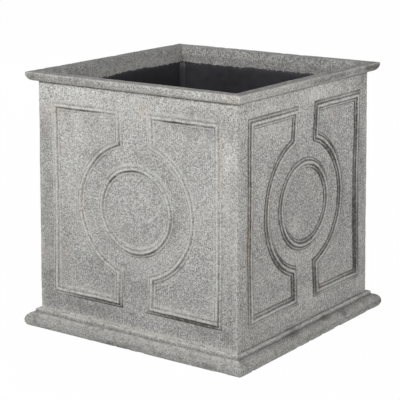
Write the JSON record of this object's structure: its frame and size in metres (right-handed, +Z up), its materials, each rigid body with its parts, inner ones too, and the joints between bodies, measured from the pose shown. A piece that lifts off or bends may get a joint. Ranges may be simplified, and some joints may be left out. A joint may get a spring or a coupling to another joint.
{
  "type": "square planter",
  "caption": "Square stone-finish planter with raised ring-and-frame strapwork on each side, an overhanging rim, a moulded plinth, a black-coated inside and a drain bung.",
  "frame": {"origin": "on the ground, under the middle of the planter", "axes": "+Z up through the middle of the planter; the front wall faces -Y"},
  "size_m": [0.5, 0.5, 0.491],
  "materials": {
    "cast_stone": "matt, speckled grey stone finish with worn edges",
    "raw_stone": "matt, unfinished casting",
    "black_coat": "brushed-on black waterproof coat, low sheen",
    "sleeve_plastic": "moulded, matt",
    "bung_rubber": "moulded, matt"
  },
  "bodies": {
    "planter": {"front_wall": "cast_stone", "right_wall": "cast_stone", "back_wall": "cast_stone", "left_wall": "cast_stone", "front_rim": "cast_stone", "right_rim": "cast_stone", "back_rim": "cast_stone", "left_rim": "cast_stone", "front_plinth": "cast_stone", "right_plinth": "cast_stone", "back_plinth": "cast_stone", "left_plinth": "cast_stone", "front_ledge": "raw_stone", "right_ledge": "raw_stone", "back_ledge": "raw_stone", "left_ledge": "raw_stone", "front_right_strip": "black_coat", "back_right_strip": "black_coat", "back_left_strip": "black_coat", "front_left_strip": "black_coat", "front_coat": "black_coat", "right_coat": "black_coat", "back_coat": "black_coat", "left_coat": "black_coat", "floor_slab": "raw_stone", "floor_coat": "black_coat", "drain_sleeve": "sleeve_plastic"},
    "bung": {"drain_bung": "bung_rubber"}
  },
  "joints": [
    {"name": "bung_lift", "type": "slide", "parent": "planter", "child": "bung", "axis": [0, 0, 1], "range_m": [0, 0.03]}
  ]
}
